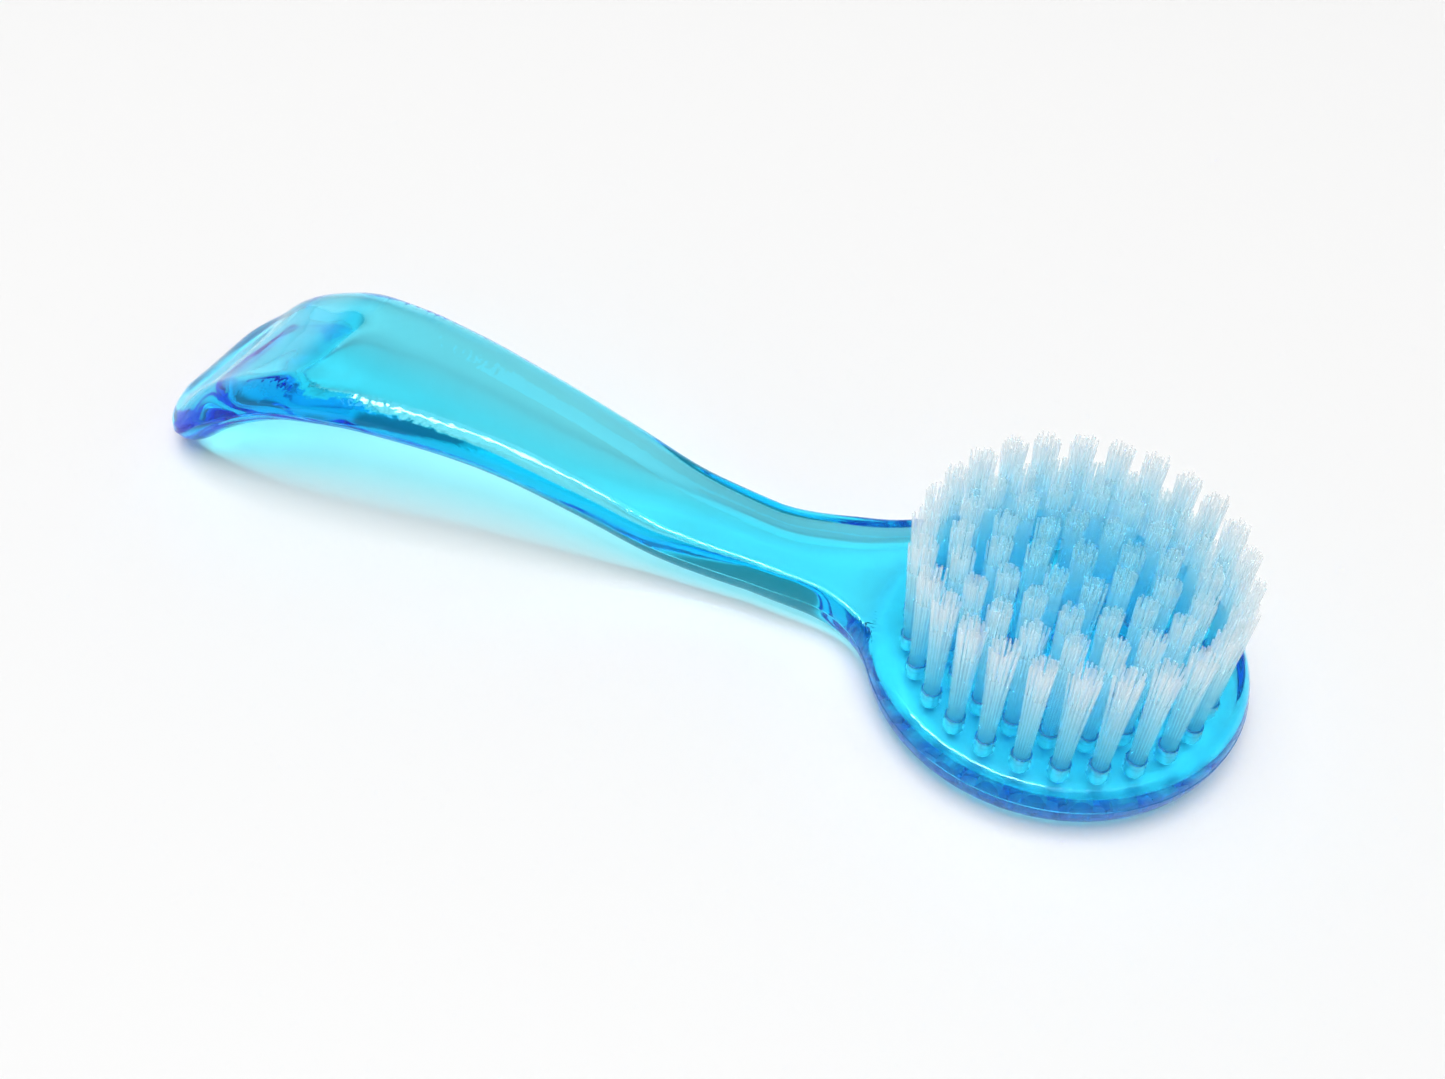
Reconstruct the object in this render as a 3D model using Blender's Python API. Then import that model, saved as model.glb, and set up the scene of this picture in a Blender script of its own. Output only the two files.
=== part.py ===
"""Nail dust brush: one clear moulding, a round head with an arched handle, set with nylon tufts.

The brush lies on its back. The origin is the middle of the head's flat back, +Z runs up through the
bristles and the handle runs out along -X. Lengths are in metres.
"""

import math
import random

import bmesh
import bpy

MM = 0.001

# Head, a thick round disc
HEAD_RADIUS = 20.5 * MM
HEAD_THICKNESS = 5.8 * MM
PARTING_HEIGHT = 3.5 * MM
FACE_EDGE_ROUND = 1.5 * MM
BACK_EDGE_ROUND = 2.2 * MM

# Handle, from the head's edge to the end
HANDLE_LENGTH = 94.6 * MM
NECK_HALF_WIDTH = 5.95 * MM
PADDLE_HALF_WIDTH = 14.9 * MM
CREST_HEIGHT = 13.05 * MM
END_MID_HEIGHT = 2.3 * MM
NECK_HALF_THICKNESS = 2.6 * MM
PADDLE_HALF_THICKNESS = 2.9 * MM
NECK_EDGE_ROUND = 1.5 * MM
PADDLE_EDGE_ROUND = 5.0 * MM
END_EDGE_ROUND = 4.3 * MM
TOP_DISH = 0.4 * MM

# Places along the handle, as shares of its length from the head's edge
ROOT_SHARES = (-0.04, 0.063)
NECK_SHARE = 0.148
CREST_SHARE = 0.670
END_ROUND_SHARE = 0.828
END_SPINE_SHARE = 0.915
END_ROUND_POWER = 4.45
# Where each side's fillet leaves the head's circle, as a share of its radius, and where it ends on the
# handle: the -Y side's is the tighter one
FILLET_LEAVE_SHARES = {-1: 0.831, 1: 0.562}
FILLET_END_SHARES = {-1: 0.113, 1: NECK_SHARE}

# Half width between the neck's and the paddle's, then height between the parting line's and the crest's,
# and height between the end's and the crest's, each as (place share, share of the difference)
WIDTH_SHARES = (
    (NECK_SHARE, 0.0), (0.248, 0.077), (0.354, 0.160), (0.480, 0.271), (0.586, 0.424),
    (CREST_SHARE, 0.548), (0.757, 0.68), (END_ROUND_SHARE, 0.77), (0.903, 0.87), (1.0, 1.0),
)
RISE_SHARES = (
    (ROOT_SHARES[0], 0.0), (0.0145, 0.02), (0.069, 0.08), (NECK_SHARE, 0.09), (0.248, 0.168),
    (0.354, 0.479), (0.480, 0.808), (0.586, 0.954), (CREST_SHARE, 1.0),
)
FALL_SHARES = (
    (CREST_SHARE, 1.0), (0.757, 0.936), (END_ROUND_SHARE, 0.721), (0.892, 0.422), (0.945, 0.065),
    (0.982, 0.0), (1.0, 0.0),
)

# Tufts, in concentric rings: how many in each and how far round its first tuft stands, in pitches
TUFT_FIELD_SHIFT = 0.5 * MM
RIM_MARGIN = 4.5 * MM
RING_STEP_SHARE = 0.2344
RING_COUNTS = (26, 20, 14, 8)
RING_TURN_SHARES = (0.62, 0.57, 0.75, 0.54)
RING_NAMES = ("outer", "second", "third", "fourth")
JOINED_RING = "third"
STRANDS_PER_TUFT = 6
TUFT_LENGTH = 14.0 * MM
TIP_RAGGEDNESS = 0.5 * MM
ROOT_RADIUS = 0.8 * MM
ROOT_STEP = 0.2 * MM
STRAND_GAP = 0.2 * MM
TUFT_TOP_GAP = 0.73 * MM
FIT_GAP = 0.3 * MM
HOLE_DEPTH = 4.0 * MM
HOLE_SIDES = 8
SLICE_THICKNESS = 0.8 * MM
SLICE_HALF_WIDTH = 1.3 * MM
CUT_OVERRUN = 1.0 * MM
RAGGED_SEED = 7

# Mesh density
ARC_STEPS = 30
FILLET_STEPS = 9
SHAFT_STEPS = 19
END_STEPS = 11
EDGE_STEPS = 4
INNER_STEPS = 3
SLICE_SIDES = 56
WELD_DISTANCE = 0.002 * MM
SHARP_ANGLE = math.radians(35.0)


def clear_scene():
    for item in list(bpy.data.objects):
        bpy.data.objects.remove(item, do_unlink=True)


def make_material(name, colour, roughness, transmission):
    material = bpy.data.materials.new(name)
    material.use_nodes = True
    shader = material.node_tree.nodes["Principled BSDF"]
    shader.inputs["Base Color"].default_value = colour
    shader.inputs["Roughness"].default_value = roughness
    shader.inputs["Metallic"].default_value = 0.0
    shader.inputs["Transmission Weight"].default_value = transmission
    material.diffuse_color = colour
    return material


def body_material():
    return make_material("clear_cyan_plastic", (0.02, 0.48, 0.86, 1.0), 0.05, 0.9)


def nylon_material():
    return make_material("white_nylon", (0.90, 0.95, 0.98, 1.0), 0.35, 0.3)


def add_object(name, bm, material):
    """Write a bmesh to a named object, smooth where its faces meet gently."""
    mesh = bpy.data.meshes.new(name)
    bm.normal_update()
    bm.to_mesh(mesh)
    bm.free()
    mesh.materials.append(material)
    mesh.shade_smooth()
    mesh.set_sharp_from_angle(angle=SHARP_ANGLE)
    item = bpy.data.objects.new(name, mesh)
    bpy.context.collection.objects.link(item)
    return item


def ease(low, high, value):
    """Rise smoothly from 0 at low to 1 at high."""
    t = min(max((value - low) / (high - low), 0.0), 1.0)
    return t * t * (3.0 - 2.0 * t)


def curve_slopes(rows):
    """Slopes of a smooth curve through rows that never overshoots between them."""
    steps = [(b[1] - a[1]) / (b[0] - a[0]) for a, b in zip(rows, rows[1:])]
    slopes = [steps[0]]
    for before, after in zip(steps, steps[1:]):
        slopes.append(2.0 * before * after / (before + after) if before * after > 0.0 else 0.0)
    slopes.append(steps[-1])
    return slopes


def curve_at(rows, place):
    """Read the smooth curve through (place, value) rows."""
    slopes = curve_slopes(rows)
    place = min(max(place, rows[0][0]), rows[-1][0])
    index = 0
    while index < len(rows) - 2 and place > rows[index + 1][0]:
        index += 1
    (p0, v0), (p1, v1) = rows[index], rows[index + 1]
    span = p1 - p0
    t = (place - p0) / span
    return ((2 * t**3 - 3 * t**2 + 1) * v0 + (t**3 - 2 * t**2 + t) * span * slopes[index]
            + (3 * t**2 - 2 * t**3) * v1 + (t**3 - t**2) * span * slopes[index + 1])


def handle_place(share):
    """Distance from the head's middle to a share of the handle's length."""
    return HEAD_RADIUS + HANDLE_LENGTH * share


def handle_share(along):
    return (along - HEAD_RADIUS) / HANDLE_LENGTH


def mid_height(along):
    """Height of the moulding's middle surface, level in the head and arched in the handle."""
    share = handle_share(along)
    if share <= CREST_SHARE:
        return PARTING_HEIGHT + (CREST_HEIGHT - PARTING_HEIGHT) * curve_at(RISE_SHARES, share)
    return END_MID_HEIGHT + (CREST_HEIGHT - END_MID_HEIGHT) * curve_at(FALL_SHARES, share)


def mid_normal(along):
    """Unit normal of the middle surface, as its parts along the handle and upward."""
    step = HANDLE_LENGTH / (ARC_STEPS * SHAFT_STEPS)
    ahead = min(along + step, handle_place(1.0))
    behind = max(along - step, 0.0)
    slope = (mid_height(ahead) - mid_height(behind)) / (ahead - behind)
    length = math.hypot(1.0, slope)
    return -slope / length, 1.0 / length


def half_width(along, side):
    """Width from the middle to one side: the head's fillet, the waist, the paddle and its rounded end."""
    share = handle_share(along)
    if share < FILLET_END_SHARES[side]:
        leave = HEAD_RADIUS * FILLET_LEAVE_SHARES[side]
        edge = math.sqrt(HEAD_RADIUS**2 - leave**2)
        span = handle_place(FILLET_END_SHARES[side]) - leave
        t = (along - leave) / span
        flare = (1.0 + 2.0 * t) * (edge - NECK_HALF_WIDTH) - t * span * leave / edge
        return NECK_HALF_WIDTH + (1.0 - t) ** 2 * flare
    width = NECK_HALF_WIDTH + (PADDLE_HALF_WIDTH - NECK_HALF_WIDTH) * curve_at(WIDTH_SHARES, share)
    if share > END_ROUND_SHARE:
        place = min((share - END_ROUND_SHARE) / (1.0 - END_ROUND_SHARE), 1.0)
        width *= math.sqrt(max(1.0 - place**END_ROUND_POWER, 0.0))
    return width


def outline(side):
    """One side of the plan, from the head's far edge to the handle's end.

    Each row is (along, across, spine): the edge point and the place on the spine that its ray starts from.
    """
    start = HEAD_RADIUS * FILLET_LEAVE_SHARES[side]
    neck = handle_place(NECK_SHARE)
    round_start = handle_place(END_ROUND_SHARE)
    rows = []
    meeting = math.acos(start / HEAD_RADIUS)
    for i in range(ARC_STEPS):
        angle = math.pi - (math.pi - meeting) * i / ARC_STEPS
        rows.append((HEAD_RADIUS * math.cos(angle), side * HEAD_RADIUS * math.sin(angle), 0.0))
    for i in range(FILLET_STEPS):
        share = i / FILLET_STEPS
        along = start + (neck - start) * share
        rows.append((along, side * half_width(along, side), neck * share))
    for i in range(SHAFT_STEPS):
        along = neck + (round_start - neck) * i / SHAFT_STEPS
        rows.append((along, side * half_width(along, side), along))
    end_spine = handle_place(END_SPINE_SHARE)
    for i in range(END_STEPS + 1):
        share = math.sin(0.5 * math.pi * i / END_STEPS)
        along = round_start + (handle_place(1.0) - round_start) * share
        spine = round_start + (end_spine - round_start) * share
        rows.append((along, side * half_width(along, side), spine))
    rows[0] = (rows[0][0], 0.0, rows[0][2])
    rows[-1] = (rows[-1][0], 0.0, rows[-1][2])
    return rows


def roll(inset, width):
    """Quarter of an ellipse: 0 at the edge, 1 once the inset reaches the roll's width."""
    t = min(max(inset / width, 0.0), 1.0)
    return math.sqrt(1.0 - (1.0 - t) ** 2)


def handle_edge_round(along):
    """How far in from the edge the handle's rounding reaches."""
    neck = handle_place(NECK_SHARE)
    crest = handle_place(CREST_SHARE)
    widened = NECK_EDGE_ROUND + (PADDLE_EDGE_ROUND - NECK_EDGE_ROUND) * ease(neck, crest, along)
    return widened + (END_EDGE_ROUND - widened) * ease(crest, handle_place(1.0), along)


def handle_half_thickness(along):
    low = handle_place(NECK_SHARE)
    high = handle_place(CREST_SHARE)
    return NECK_HALF_THICKNESS + (PADDLE_HALF_THICKNESS - NECK_HALF_THICKNESS) * ease(low, high, along)


def handle_depth(along, side):
    """Depth of the handle to one side of its middle surface. On top it starts level with the face."""
    full = handle_half_thickness(along)
    if side < 0:
        return full
    low, high = (handle_place(share) for share in ROOT_SHARES)
    level = HEAD_THICKNESS - mid_height(along)
    return level + (full - level) * ease(low, high, along)


def surface_offset(along, across, inset, side):
    """Height of the top (side 1) or depth of the back (side -1) from the middle surface."""
    rim = HEAD_RADIUS - math.hypot(along, across)
    middle = mid_height(along)
    if side > 0:
        head = (HEAD_THICKNESS - middle) * roll(rim, FACE_EDGE_ROUND)
    else:
        head = middle * roll(rim, BACK_EDGE_ROUND)
    handle = handle_depth(along, side) * roll(inset, handle_edge_round(along))
    neck = handle_place(NECK_SHARE)
    if side > 0 and along > neck:
        flat = NECK_HALF_WIDTH + inset - NECK_EDGE_ROUND
        hollow = max(1.0 - (across / flat) ** 2, 0.0)
        handle -= TOP_DISH * hollow * ease(neck, handle_place(CREST_SHARE), along)
    return max(head, handle, 0.0)


def body_point(along, across, inset, side):
    """A point of the skin. The heights stand square to the arched middle surface."""
    lean, up = mid_normal(along)
    offset = side * surface_offset(along, across, inset, side)
    height = max(mid_height(along) + up * offset, 0.0)
    return -(along + lean * offset), across, height


def skin_row(edge, side):
    """The points of one side's skin from an edge point in to the spine."""
    along, across, spine = edge
    length = math.hypot(along - spine, across)
    weight = ease(HEAD_RADIUS * FILLET_LEAVE_SHARES[-1], handle_place(NECK_SHARE), along)
    head_round = FACE_EDGE_ROUND if side > 0 else BACK_EDGE_ROUND
    width = head_round + (handle_edge_round(along) - head_round) * weight
    width = min(width, length)
    insets = [width * (1.0 - math.cos(0.5 * math.pi * k / EDGE_STEPS)) for k in range(EDGE_STEPS + 1)]
    insets += [width + (length - width) * k / INNER_STEPS for k in range(1, INNER_STEPS + 1)]
    row = []
    for inset in insets:
        share = inset / length if length else 1.0
        row.append(body_point(along + (spine - along) * share, across * (1.0 - share), inset, side))
    return row


def body_mesh():
    """The head and handle in one skin, laid in rays from the edge to a spine."""
    loop = outline(-1) + outline(1)[-2:0:-1]
    bm = bmesh.new()
    for side in (1, -1):
        rows = [[bm.verts.new(point) for point in skin_row(edge, side)] for edge in loop]
        for row, following in zip(rows, rows[1:] + rows[:1]):
            for k in range(len(row) - 1):
                corners = [row[k], row[k + 1], following[k + 1], following[k]]
                bm.faces.new(corners if side > 0 else corners[::-1])
    bmesh.ops.remove_doubles(bm, verts=bm.verts, dist=WELD_DISTANCE)
    for level in (0.0, HEAD_THICKNESS):
        flat = [face for face in bm.faces if all(abs(v.co.z - level) < WELD_DISTANCE for v in face.verts)]
        bmesh.ops.dissolve_faces(bm, faces=flat)
    bmesh.ops.triangulate(bm, faces=bm.faces)
    bmesh.ops.recalc_face_normals(bm, faces=bm.faces)
    return bm


def ring_radius(index):
    return (HEAD_RADIUS - RIM_MARGIN) * (1.0 - RING_STEP_SHARE * index)


def tuft_top_radius():
    """How wide a tuft flares: its top clears its neighbour's in the innermost ring."""
    innermost = len(RING_COUNTS) - 1
    return ring_radius(innermost) * math.sin(math.pi / RING_COUNTS[innermost]) - 0.5 * TUFT_TOP_GAP


def ring_places(index):
    """The middles of one ring's tufts, counted from the handle's side."""
    count = RING_COUNTS[index]
    pitch = 2.0 * math.pi / count
    radius = ring_radius(index)
    places = []
    for k in range(count):
        angle = math.pi + pitch * (k + RING_TURN_SHARES[index])
        places.append((TUFT_FIELD_SHIFT + radius * math.cos(angle), radius * math.sin(angle)))
    return places


def middle_place():
    return TUFT_FIELD_SHIFT, 0.0


def add_prism(bm, place, radius, sides, low, high):
    """Add a closed upright prism whose caps are fans of triangles."""
    made = bmesh.ops.create_cone(bm, cap_ends=True, cap_tris=True, segments=sides, radius1=radius,
                                 radius2=radius, depth=high - low)
    bmesh.ops.translate(bm, verts=made["verts"], vec=(place[0], place[1], 0.5 * (low + high)))
    return made["verts"]


def add_ring_slice(bm, inner, outer, low, high):
    """Add a flat ring, turned from its rectangular section."""
    corners = [(inner, low), (outer, low), (outer, high), (inner, high)]
    loops = []
    for i in range(SLICE_SIDES):
        angle = 2.0 * math.pi * i / SLICE_SIDES
        ahead, beside = math.cos(angle), math.sin(angle)
        loops.append([bm.verts.new((TUFT_FIELD_SHIFT + r * ahead, r * beside, z)) for r, z in corners])
    for loop, following in zip(loops, loops[1:] + loops[:1]):
        for k in range(len(corners)):
            after = (k + 1) % len(corners)
            bm.faces.new((loop[k], loop[after], following[after], following[k]))
    bmesh.ops.recalc_face_normals(bm, faces=bm.faces)


def cut(item, name, bm, material):
    """Cut a closed mesh out of an object and leave the cutter hidden."""
    cutter = add_object(name, bm, material)
    cutter.hide_render = True
    cutter.display_type = "WIRE"
    boolean = item.modifiers.new(name, "BOOLEAN")
    boolean.operation = "DIFFERENCE"
    boolean.solver = "EXACT"
    boolean.object = cutter


def hole_cutter_mesh():
    """Blind holes, one for each tuft, wide enough to clear its root."""
    bm = bmesh.new()
    radius = (ROOT_RADIUS + FIT_GAP) / math.cos(math.pi / HOLE_SIDES)
    places = [place for index in range(len(RING_COUNTS)) for place in ring_places(index)]
    for place in places + [middle_place()]:
        add_prism(bm, place, radius, HOLE_SIDES, HEAD_THICKNESS - HOLE_DEPTH, HEAD_THICKNESS + CUT_OVERRUN)
    return bm


def groove_cutter_mesh(index):
    """The groove that the joined ring's slice of backing lies in."""
    bm = bmesh.new()
    reach = SLICE_HALF_WIDTH + FIT_GAP
    radius = ring_radius(index)
    add_ring_slice(bm, radius - reach, radius + reach, HEAD_THICKNESS - SLICE_THICKNESS - FIT_GAP,
                   HEAD_THICKNESS + CUT_OVERRUN)
    return bm


def add_body(material):
    body = add_object("body", body_mesh(), material)
    cut(body, "groove_cutter", groove_cutter_mesh(RING_NAMES.index(JOINED_RING)), material)
    cut(body, "hole_cutter", hole_cutter_mesh(), material)
    return body


def tuft_mesh(bm, place, ragged):
    """A tuft: the folded root in its hole, and the strands that flare from it."""
    low = HEAD_THICKNESS - HOLE_DEPTH + FIT_GAP
    high = HEAD_THICKNESS + ROOT_STEP
    verts = add_prism(bm, place, ROOT_RADIUS, STRANDS_PER_TUFT, low, high)
    caps = [face for face in {f for v in verts for f in v.link_faces} if face.normal.z > 0.5]
    caps.sort(key=lambda face: math.atan2(face.calc_center_median().y - place[1],
                                          face.calc_center_median().x - place[0]))
    bmesh.ops.inset_individual(bm, faces=caps, thickness=0.5 * STRAND_GAP)
    strands = bmesh.ops.extrude_discrete_faces(bm, faces=caps)["faces"]
    for strand in strands:
        middle = strand.calc_center_median()
        outward = (middle.x - place[0], middle.y - place[1])
        reach = math.hypot(*outward)
        width = max(math.hypot(v.co.x - middle.x, v.co.y - middle.y) for v in strand.verts)
        flare = (tuft_top_radius() - width - reach) / reach
        rise = TUFT_LENGTH - ROOT_STEP + TIP_RAGGEDNESS * ragged.uniform(-1.0, 1.0)
        bmesh.ops.translate(bm, verts=strand.verts, vec=(outward[0] * flare, outward[1] * flare, rise))


def add_tuft(name, place, ragged, material):
    bm = bmesh.new()
    tuft_mesh(bm, (0.0, 0.0), ragged)
    tuft = add_object(name, bm, material)
    tuft.location = (place[0], place[1], 0.0)
    return tuft


def add_joined_ring(index, ragged, material):
    """A ring of tufts fused to a thin slice of their backing."""
    bm = bmesh.new()
    radius = ring_radius(index)
    add_ring_slice(bm, radius - SLICE_HALF_WIDTH, radius + SLICE_HALF_WIDTH,
                   HEAD_THICKNESS - SLICE_THICKNESS, HEAD_THICKNESS)
    ring = add_object(f"tuft_ring_{RING_NAMES[index]}", bm, material)
    tufts = bmesh.new()
    for place in ring_places(index):
        tuft_mesh(tufts, place, ragged)
    joined = add_object("joined_tufts", tufts, material)
    joined.hide_render = True
    joined.display_type = "WIRE"
    boolean = ring.modifiers.new("joined_tufts", "BOOLEAN")
    boolean.operation = "UNION"
    boolean.solver = "EXACT"
    boolean.object = joined
    return ring


def add_tufts(material):
    ragged = random.Random(RAGGED_SEED)
    for index, name in enumerate(RING_NAMES):
        if name == JOINED_RING:
            add_joined_ring(index, ragged, material)
            continue
        for k, place in enumerate(ring_places(index)):
            add_tuft(f"tuft_{name}_{k + 1:02d}", place, ragged, material)
    add_tuft("tuft_middle", middle_place(), ragged, material)


def main():
    clear_scene()
    add_body(body_material())
    add_tufts(nylon_material())


if __name__ == "__main__":
    main()
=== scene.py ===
"""Nail dust brush, dressed over its CAD frame: the clear cyan moulding, its nylon tufts and their anchors.

The brush lies on its back. The origin is the middle of the head's flat back, +Z runs up through the
bristles and the handle runs out along -X. Lengths are in metres and angles in radians.
"""

import math

import bmesh
import bpy
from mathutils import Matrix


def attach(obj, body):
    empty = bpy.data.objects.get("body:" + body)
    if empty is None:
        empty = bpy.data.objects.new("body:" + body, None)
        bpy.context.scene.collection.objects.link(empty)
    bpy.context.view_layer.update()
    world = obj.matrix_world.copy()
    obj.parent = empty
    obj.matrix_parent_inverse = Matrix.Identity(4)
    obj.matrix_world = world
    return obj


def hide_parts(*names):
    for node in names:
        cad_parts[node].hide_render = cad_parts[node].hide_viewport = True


bl_info = {
    "name": "Nail Dust Brush",
    "version": (1, 0, 0),
    "blender": (4, 5, 0),
    "location": "3D View > Sidebar > Nail Brush",
    "description": "Makes a clear nail dust brush over its CAD frame",
    "category": "Object",
}

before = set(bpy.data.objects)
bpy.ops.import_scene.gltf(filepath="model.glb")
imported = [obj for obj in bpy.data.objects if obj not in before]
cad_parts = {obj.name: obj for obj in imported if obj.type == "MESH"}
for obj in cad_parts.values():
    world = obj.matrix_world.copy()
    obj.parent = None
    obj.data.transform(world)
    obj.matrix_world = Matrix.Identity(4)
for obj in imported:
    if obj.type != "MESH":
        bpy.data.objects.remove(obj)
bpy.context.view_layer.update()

MM = 0.001
ROOT_BODY = "root"

# Head, the same round disc as in the part's source
HEAD_RADIUS = 20.5 * MM
HEAD_THICKNESS = 5.8 * MM
PARTING_HEIGHT = 3.5 * MM
FACE_EDGE_ROUND = 1.5 * MM
BACK_EDGE_ROUND = 2.2 * MM

# Handle, from the head's edge to the end
HANDLE_LENGTH = 94.6 * MM
NECK_HALF_WIDTH = 5.95 * MM
PADDLE_HALF_WIDTH = 14.9 * MM
CREST_HEIGHT = 13.05 * MM
END_MID_HEIGHT = 2.3 * MM
NECK_HALF_THICKNESS = 2.6 * MM
PADDLE_HALF_THICKNESS = 2.9 * MM
NECK_EDGE_ROUND = 1.5 * MM
PADDLE_EDGE_ROUND = 5.0 * MM
END_EDGE_ROUND = 4.3 * MM
TOP_DISH = 0.4 * MM

# Places along the handle, as shares of its length from the head's edge
ROOT_SHARES = (-0.04, 0.063)
NECK_SHARE = 0.148
CREST_SHARE = 0.670
END_ROUND_SHARE = 0.828
END_SPINE_SHARE = 0.915
END_ROUND_POWER = 4.45
# Where each side's fillet leaves the head's circle, as a share of its radius, and where it ends
FILLET_LEAVE_SHARES = {-1: 0.831, 1: 0.562}
FILLET_END_SHARES = {-1: 0.113, 1: NECK_SHARE}

# Half width and height along the handle, as (place share, share of the difference)
WIDTH_SHARES = (
    (NECK_SHARE, 0.0), (0.248, 0.077), (0.354, 0.160), (0.480, 0.271), (0.586, 0.424),
    (CREST_SHARE, 0.548), (0.757, 0.68), (END_ROUND_SHARE, 0.77), (0.903, 0.87), (1.0, 1.0),
)
RISE_SHARES = (
    (ROOT_SHARES[0], 0.0), (0.0145, 0.02), (0.069, 0.08), (NECK_SHARE, 0.09), (0.248, 0.168),
    (0.354, 0.479), (0.480, 0.808), (0.586, 0.954), (CREST_SHARE, 1.0),
)
FALL_SHARES = (
    (CREST_SHARE, 1.0), (0.757, 0.936), (END_ROUND_SHARE, 0.721), (0.892, 0.422), (0.945, 0.065),
    (0.982, 0.0), (1.0, 0.0),
)

# Density of the moulding's skin
ARC_STEPS = 96
FILLET_STEPS = 36
SHAFT_STEPS = 90
END_STEPS = 40
EDGE_STEPS = 9
INNER_STEPS = 12
PROFILE_STEP = 0.2 * MM
ARCH_REACH = 3.0 * MM
NORMAL_REACH = 4.0 * MM
WELD_DISTANCE = 0.002 * MM
FLAT_MARGIN = 0.7 * MM
BLEND_REACH = 0.5 * MM
SHARP_ANGLE = math.radians(38.0)

# Holes and tufts, in concentric rings: how many in each and how far round its first tuft stands
TUFT_FIELD_SHIFT = 0.5 * MM
FIELD_REACH = 17.6 * MM
RIM_MARGIN = 4.5 * MM
RING_STEP_SHARE = 0.2344
RING_COUNTS = (26, 20, 14, 8)
RING_TURN_SHARES = (0.62, 0.57, 0.75, 0.54)
RING_NAMES = ("outer", "second", "third", "fourth")
PLACE_NAMES = RING_NAMES + ("middle",)
JOINED_RING = "third"
HOLE_SIDES = 24
LIP_SIDES = 6
HOLE_DEPTH = 4.0 * MM
DRILL_POINT = 0.35 * MM
MOUTH_CHAMFER = 0.10 * MM
CUT_OVERRUN = 0.2 * MM
LEAST_BODY_FACES = 10000
ANCHOR_CORNER_SHARE = 0.12

# Filaments: two legs and the fold between them, counted in rings of a tube from the fold's middle
TUBE_SIDES = 5
TUBE_SEGMENTS = 11
FOLD_RING = 1.5
ARC_ROWS = (
    # How many filaments in each half ring, its share of the bundle's radius and its first angle
    (9, 1.0, math.radians(18.0)),
    (6, 0.665, math.radians(28.0)),
    (2, 0.36, math.radians(60.0)),
)
INNER_FLARE_SHARE = 0.6
MIDWAY_REACH_SHARE = 0.42
FLARE_SPREAD = 0.22
FLARE_LEAN = 0.1
STRAY_FLARE = 0.75
TIP_DOME_SHARE = 0.7
TIP_NARROWING = 0.55
# Seeds: the first ring's, the step to the next ring's, and what the tips and the tufts' leans add
FIRST_SEED = 7
RING_SEED_STEP = 100
TIP_SEED = 3
LEAN_SEED = 20
HELPER_ATTRIBUTES = ("section", "root", "place", "tuft", "filament")

# Looks of the moulding. Noise scales are in waves for each metre
WHITE = (1.0, 1.0, 1.0)
NOISE_RANGE = (0.3, 0.7)
PLASTIC_IOR = 1.5
PLASTIC_SPECULAR = 0.4
REFLECTION_TINT = (0.3, 0.8, 1.0)
HAZE_SCALE = 900.0
HAZE_SPREAD = (0.6, 1.4)
SHOULDER_WAY = (0.0, -0.42, 0.91)
SHOULDER_LIMITS = (0.93, 0.975)
WALL_ROUGHNESS = 0.4
SCRATCH_SCALE = 4000.0
SCRATCH_STRETCH = (1.0, 1.0, 0.08)
SCRATCH_LEAST = 0.3
FROST_DEPTH = 1.6 * MM
FROST_COLOUR = (0.72, 0.84, 0.9)
# Painted shade: the drilled walls are painted darker deeper down in the holes
DEEP_WALL_PAINTED_SHADE = (0.3, 0.6, 0.78)
# Painted shade: the dark ring round each hole's mouth
LIP_PAINTED_SHADE = (0.02, 0.3, 0.62)
LIP_CLEARNESS = 0.6
LIP_ROUGHNESS = (0.2, 0.5)
TORN_SCALE = 3000.0

# Looks of the nylon and the wire
# Painted light: how high and how far out the painted cyan glow on the nylon reaches
PAINTED_GLOW_HEIGHT = 12.5 * MM
FOOT_WHITE_SHARE = 0.05
MIDDLE_WHITE_SHARE = 0.45
MIDDLE_REACH_SHARE = 0.25
TIP_CLOUD_HEIGHTS = (12.0 * MM, 19.6 * MM)
TIP_WHITENING = 0.08
STREAK_SCALE = 2500.0
STREAK_STRETCH = (1.0, 1.0, 0.05)
STREAK_LEAST = 0.88
NYLON_IOR = 1.53
NYLON_ROUGHNESS = (0.24, 0.36)
WIRE_COLOUR = (0.80, 0.80, 0.82)
WIRE_LINE_SCALE = 6000.0
WIRE_STRETCH = (0.05, 1.0, 1.0)
WIRE_ROUGHNESS = (0.22, 0.4)

# Table
TABLE_RADIUS = 1.5
TABLE_SIDES = 96
TABLE_GAP = 0.02 * MM
TABLE_ROUGHNESS = 0.6
TABLE_SPECULAR = 0.1

# Lights, both level and facing down
SOFTBOX_PLACE = (-0.1, -0.08, 1.6)
SOFTBOX_SIZE = (1.5, 1.5)
BAR_PLACE = (-0.16, 0.0, 0.72)
BAR_SIZE = (0.5, 0.14)
HORIZON_GLOW = (0.1, 0.4)
CLEAR_BOUNCES = 64
FILAMENT_WALLS = 128

# The photograph's camera
SENSOR_WIDTH = 36.0
CAMERA_PLACE = (7.90 * MM, -99.63 * MM, 118.66 * MM)
CAMERA_TILT = math.radians(43.69)
CAMERA_TURN = math.radians(25.5)
CAMERA_LENS = 34.03
CAMERA_CLIP = (1.0 * MM, 10.0)


def ease(low, high, value):
    """Rise smoothly from 0 at low to 1 at high."""
    t = min(max((value - low) / (high - low), 0.0), 1.0)
    return t * t * (3.0 - 2.0 * t)


def curve_slopes(rows):
    """Slopes of a smooth curve through rows that never overshoots between them."""
    steps = [(b[1] - a[1]) / (b[0] - a[0]) for a, b in zip(rows, rows[1:])]
    slopes = [steps[0]]
    for before, after in zip(steps, steps[1:]):
        slopes.append(2.0 * before * after / (before + after) if before * after > 0.0 else 0.0)
    slopes.append(steps[-1])
    return slopes


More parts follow.
